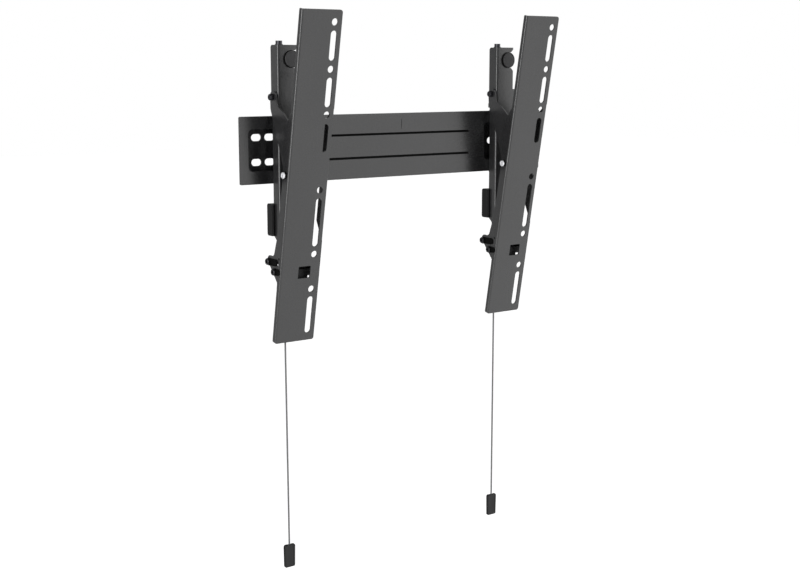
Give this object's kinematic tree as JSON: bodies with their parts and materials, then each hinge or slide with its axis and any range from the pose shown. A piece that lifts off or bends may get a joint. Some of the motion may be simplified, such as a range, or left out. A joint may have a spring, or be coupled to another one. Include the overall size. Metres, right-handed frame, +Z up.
{
  "type": "tilting tv wall bracket",
  "caption": "Wall bracket for a flat screen: a wide wall plate carries hooked uprights with tilting slotted arms, height screws and spring latches on pull cords.",
  "frame": {"origin": "in the wall plane, midway between the round fixing holes of the wall plate", "axes": "+Z up; the front faces -Y and the wall is behind at Y 0"},
  "size_m": [0.5074, 0.0965, 0.7451],
  "materials": {
    "plate_powder": "satin powder coat",
    "arm_powder": "satin powder coat",
    "frame_powder": "satin powder coat",
    "black_screw": "black oxide",
    "zinc_steel": "zinc plated",
    "bright_rivet": "bright",
    "soft_black": "matte",
    "black_plastic": "fine grain",
    "cord_weave": "braided",
    "tag_plastic": "moulded"
  },
  "bodies": {
    "wall_plate": {"wall_plate": "plate_powder"},
    "hook_left": {"hook_block_left": "zinc_steel"},
    "bracket_left": {"upright_left": "frame_powder", "bumper_left": "soft_black", "gusset_left": "frame_powder", "gusset_screw_left": "black_screw", "rivet_left": "bright_rivet", "spacer_left": "black_plastic"},
    "screw_left": {"height_screw_left": "black_screw"},
    "tilt_arm_left": {"arm_left": "arm_powder", "clamp_screw_left": "black_screw", "clamp_nut_left": "zinc_steel", "lock_screw_left": "black_screw", "lock_nut_left": "zinc_steel"},
    "pull_latch_left": {"latch_left": "zinc_steel", "latch_spring_left": "zinc_steel", "latch_foot_left": "black_plastic", "cord_left": "cord_weave", "tag_left": "tag_plastic"},
    "hook_right": {"hook_block_right": "zinc_steel"},
    "bracket_right": {"upright_right": "frame_powder", "bumper_right": "soft_black", "gusset_right": "frame_powder", "gusset_screw_right": "black_screw", "rivet_right": "bright_rivet", "spacer_right": "black_plastic"},
    "screw_right": {"height_screw_right": "black_screw"},
    "tilt_arm_right": {"arm_right": "arm_powder", "clamp_screw_right": "black_screw", "clamp_nut_right": "zinc_steel", "lock_screw_right": "black_screw", "lock_nut_right": "zinc_steel"},
    "pull_latch_right": {"latch_right": "zinc_steel", "latch_spring_right": "zinc_steel", "latch_foot_right": "black_plastic", "cord_right": "cord_weave", "tag_right": "tag_plastic"}
  },
  "joints": [
    {"name": "shift_left", "type": "slide", "parent": "wall_plate", "child": "hook_left", "axis": [1, 0, 0], "range_m": [-0.04, 0.1]},
    {"name": "height_left", "type": "slide", "parent": "hook_left", "child": "bracket_left", "axis": [0, 0, 1], "range_m": [-0.004, 0]},
    {"name": "screw_turn_left", "type": "hinge", "parent": "bracket_left", "child": "screw_left", "pos_m": [-0.19765, -0.0184, 0.1], "axis": [0, 0, 1], "range_deg": [-1800, 0]},
    {"name": "tilt_left", "type": "hinge", "parent": "bracket_left", "child": "tilt_arm_left", "pos_m": [-0.21015, -0.0515, -0.0298], "axis": [1, 0, 0], "range_deg": [-10.28, 0]},
    {"name": "latch_left", "type": "slide", "parent": "bracket_left", "child": "pull_latch_left", "axis": [0, 0, -1], "range_m": [0, 0.009], "stiffness_N_per_m": 600, "springref_m": -0.01, "deforming": ["latch_spring_left"]},
    {"name": "shift_right", "type": "slide", "parent": "wall_plate", "child": "hook_right", "axis": [1, 0, 0], "range_m": [-0.1, 0.04]},
    {"name": "height_right", "type": "slide", "parent": "hook_right", "child": "bracket_right", "axis": [0, 0, 1], "range_m": [-0.004, 0]},
    {"name": "screw_turn_right", "type": "hinge", "parent": "bracket_right", "child": "screw_right", "pos_m": [0.16495, -0.0184, 0.1], "axis": [0, 0, 1], "range_deg": [-1800, 0]},
    {"name": "tilt_right", "type": "hinge", "parent": "bracket_right", "child": "tilt_arm_right", "pos_m": [0.15245, -0.0515, -0.0298], "axis": [1, 0, 0], "range_deg": [-10.28, 0]},
    {"name": "latch_right", "type": "slide", "parent": "bracket_right", "child": "pull_latch_right", "axis": [0, 0, -1], "range_m": [0, 0.009], "stiffness_N_per_m": 600, "springref_m": -0.01, "deforming": ["latch_spring_right"]}
  ],
  "couplings": [
    {"joint": "screw_turn_left", "follows": "height_left", "rad_per_m": 7854},
    {"joint": "screw_turn_right", "follows": "height_right", "rad_per_m": 7854}
  ]
}
